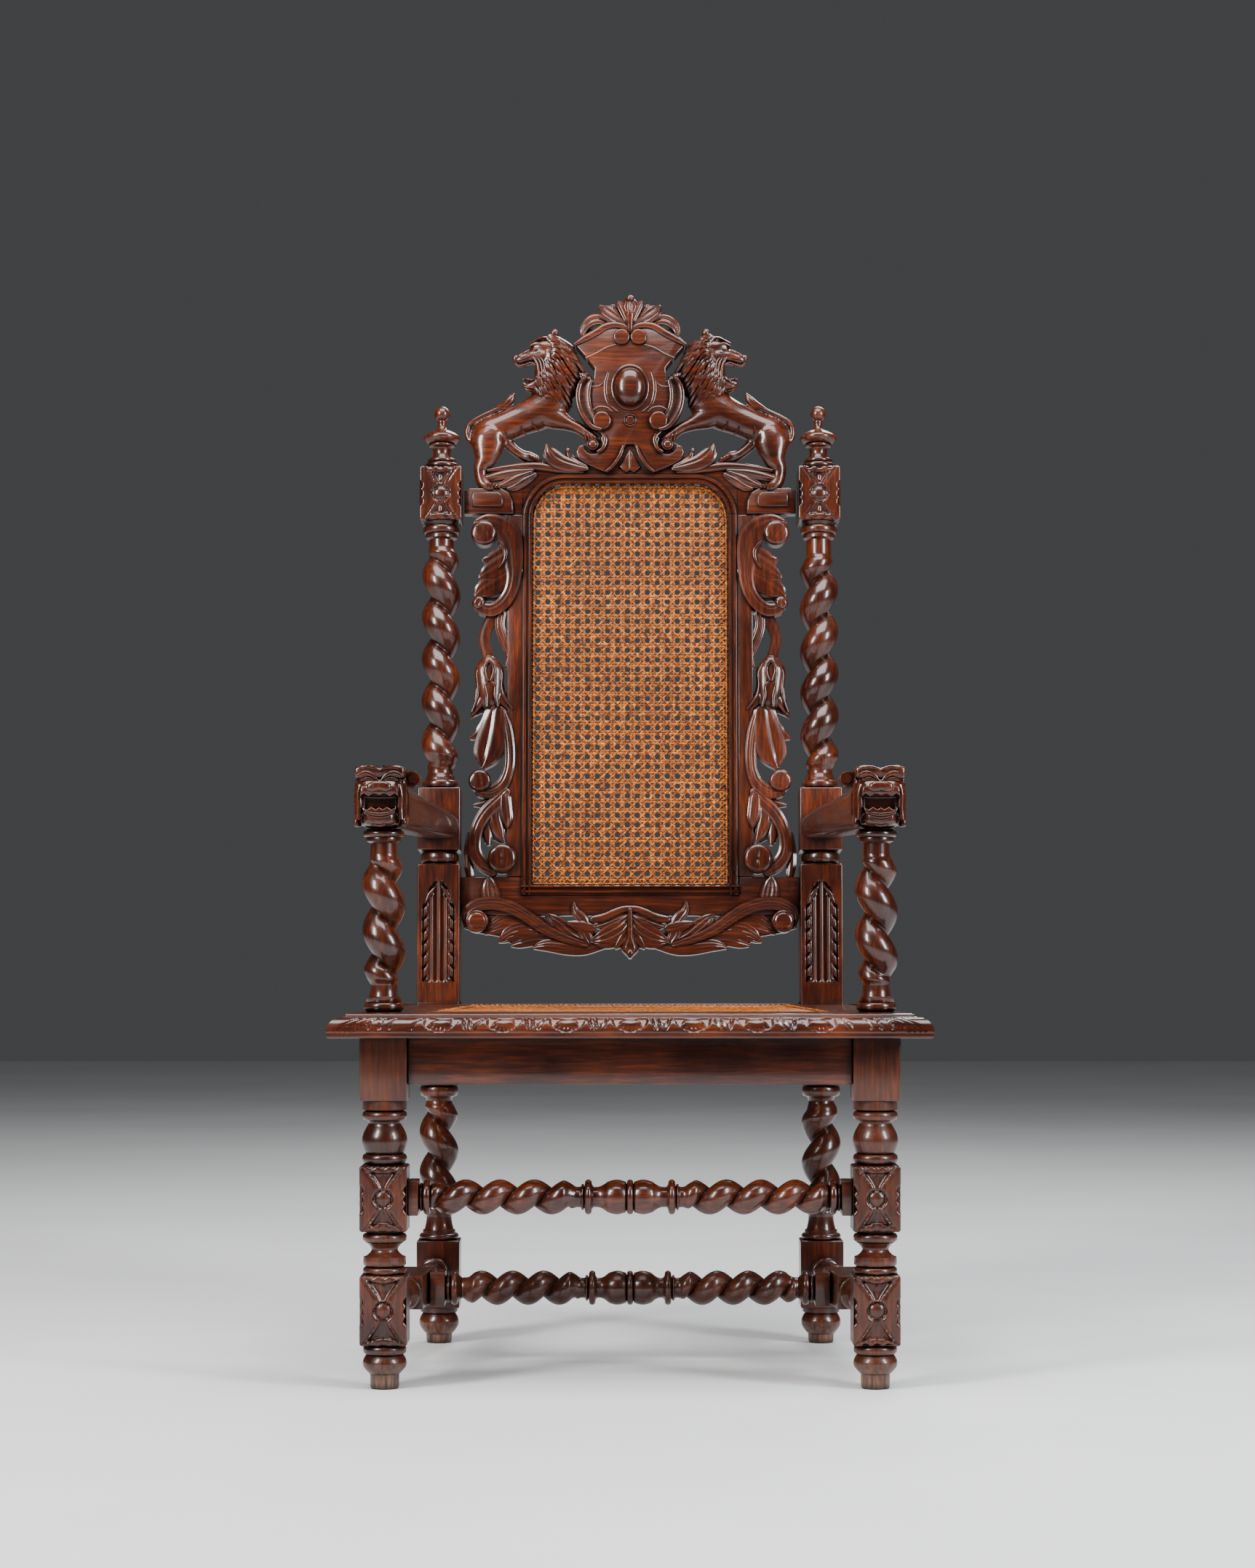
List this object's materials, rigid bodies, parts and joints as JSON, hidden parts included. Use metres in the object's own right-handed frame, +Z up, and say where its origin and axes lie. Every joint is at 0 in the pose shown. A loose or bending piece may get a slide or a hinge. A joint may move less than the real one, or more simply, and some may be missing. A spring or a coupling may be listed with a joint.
{
  "type": "throne",
  "caption": "High-backed carved oak throne: barley-twist posts and stretchers, lion-headed arms, caned seat and back, pierced crest with lions beside a cartouche.",
  "frame": {"origin": "on the floor under the middle of the chair's bounding box", "axes": "+Z up, -Y the way the sitter faces, +X to the right seen from the front"},
  "size_m": [0.684, 0.5802, 1.3449],
  "materials": {
    "oak_dark": "dark red-brown oak under an old glossy varnish, nearly black in the recesses",
    "oak_worn": "the same oak with the varnish rubbed and dulled by wear",
    "cane": "woven split cane, aged to orange brown"
  },
  "bodies": {
    "root": {"front_leg_left": "oak_worn", "front_leg_right": "oak_worn", "rear_post_left": "oak_dark", "rear_post_right": "oak_dark", "arm_support_left": "oak_dark", "arm_support_right": "oak_dark", "arm_left": "oak_dark", "arm_right": "oak_dark", "seat_frame_front": "oak_dark", "seat_frame_left": "oak_dark", "seat_frame_right": "oak_dark", "seat_frame_rear": "oak_dark", "seat_cane": "cane", "apron_front": "oak_dark", "apron_left": "oak_dark", "apron_right": "oak_dark", "apron_rear": "oak_dark", "front_stretcher": "oak_dark", "cross_stretcher": "oak_worn", "side_stretcher_left": "oak_worn", "side_stretcher_right": "oak_worn", "back_stile_left": "oak_dark", "back_stile_right": "oak_dark", "back_bottom_rail": "oak_dark", "back_cane": "cane", "crest": "oak_dark"}
  },
  "joints": []
}
